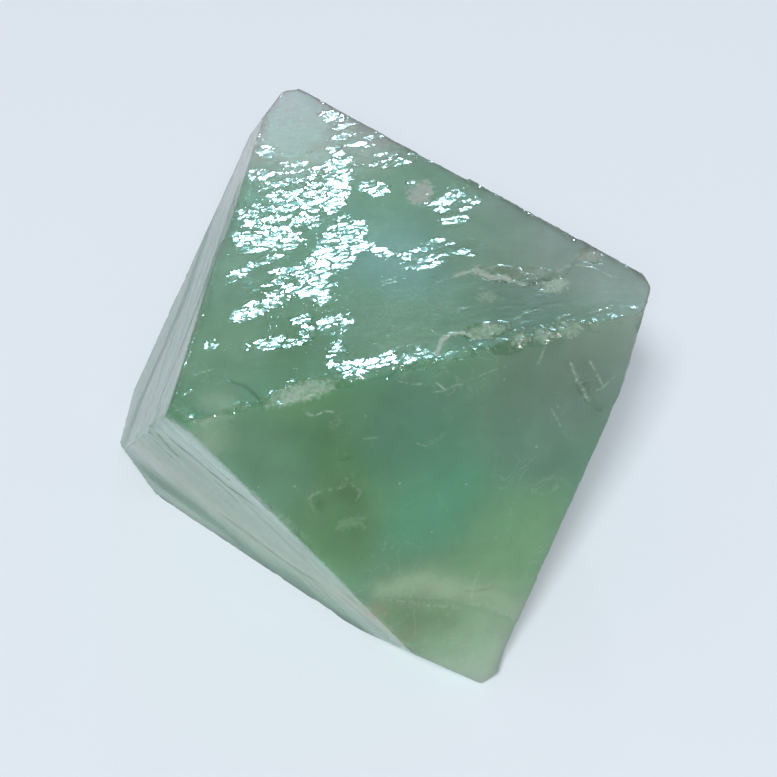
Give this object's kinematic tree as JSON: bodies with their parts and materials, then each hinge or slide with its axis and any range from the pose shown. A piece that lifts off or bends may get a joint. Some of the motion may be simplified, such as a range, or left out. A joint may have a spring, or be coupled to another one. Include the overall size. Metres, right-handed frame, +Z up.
{
  "type": "fluorite octahedron",
  "caption": "Loose cleaved fluorite octahedron, cloudy green and see-through, with blunt chipped corners and cleavage ledges, lying on one face.",
  "frame": {"origin": "the middle of the bottom of the crystal's box, on the surface that it lies on", "axes": "+Z up from the face that it lies on, +X to the right and +Y away from the viewer in the picture's view"},
  "size_m": [0.0332, 0.0318, 0.0222],
  "materials": {
    "fluorite": "cloudy green crystal, satin cleavage faces with bright glints on small steps"
  },
  "bodies": {
    "root": {"fluorite_octahedron": "fluorite"}
  },
  "joints": []
}
